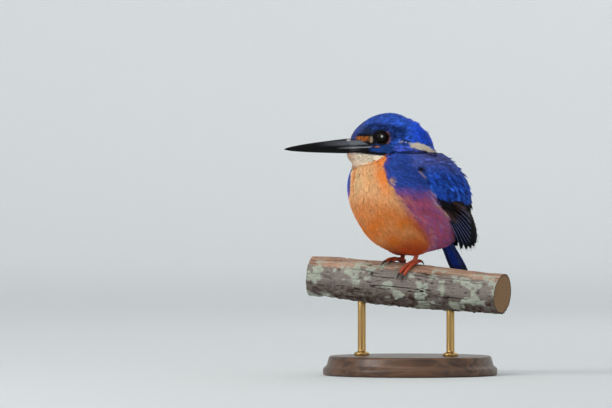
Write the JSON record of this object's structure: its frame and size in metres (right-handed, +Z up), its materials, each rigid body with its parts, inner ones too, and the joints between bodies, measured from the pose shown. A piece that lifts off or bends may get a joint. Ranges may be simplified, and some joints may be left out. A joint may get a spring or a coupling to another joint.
{
  "type": "kingfisher",
  "caption": "Azure kingfisher perched hunched on a short length of weathered branch, long dark bill level, held on rods over a round display base.",
  "frame": {"origin": "centre of the flat underside of the display stand's base", "axes": "+Z up; the camera of the picture looks along +Y, so the bird's bill points to -X and a little to -Y"},
  "size_m": [0.1402, 0.108, 0.1626],
  "materials": {
    "blue_plumage": "deep azure feathers with a soft sheen",
    "underparts": "soft orange feathers, violet on the flanks",
    "neck_plumage": "cream throat and neck feathers",
    "dark_feathers": "blackish flight and tail feathers",
    "bill_horn": "polished black horn",
    "claw_horn": "dark horn",
    "eye": "very dark brown, wet gloss",
    "leg_skin": "orange-red scaled skin",
    "bark": "weathered bark and bare wood with pale lichen",
    "stand_wood": "oiled walnut",
    "stand_metal": "satin brass"
  },
  "bodies": {
    "root": {"head": "blue_plumage", "neck": "neck_plumage", "trunk": "underparts", "wing_left": "blue_plumage", "wing_right": "blue_plumage", "wing_left_flight": "dark_feathers", "wing_right_flight": "dark_feathers", "tail": "dark_feathers", "bill_upper": "bill_horn", "bill_lower": "bill_horn", "eye_left": "eye", "eye_right": "eye", "leg_left": "leg_skin", "leg_right": "leg_skin", "leg_left_claw_inner": "claw_horn", "leg_left_claw_outer": "claw_horn", "leg_left_claw_hind": "claw_horn", "leg_right_claw_inner": "claw_horn", "leg_right_claw_outer": "claw_horn", "leg_right_claw_hind": "claw_horn", "perch": "bark", "stand_rod_left": "stand_metal", "stand_rod_right": "stand_metal", "stand_base": "stand_wood"}
  },
  "joints": []
}
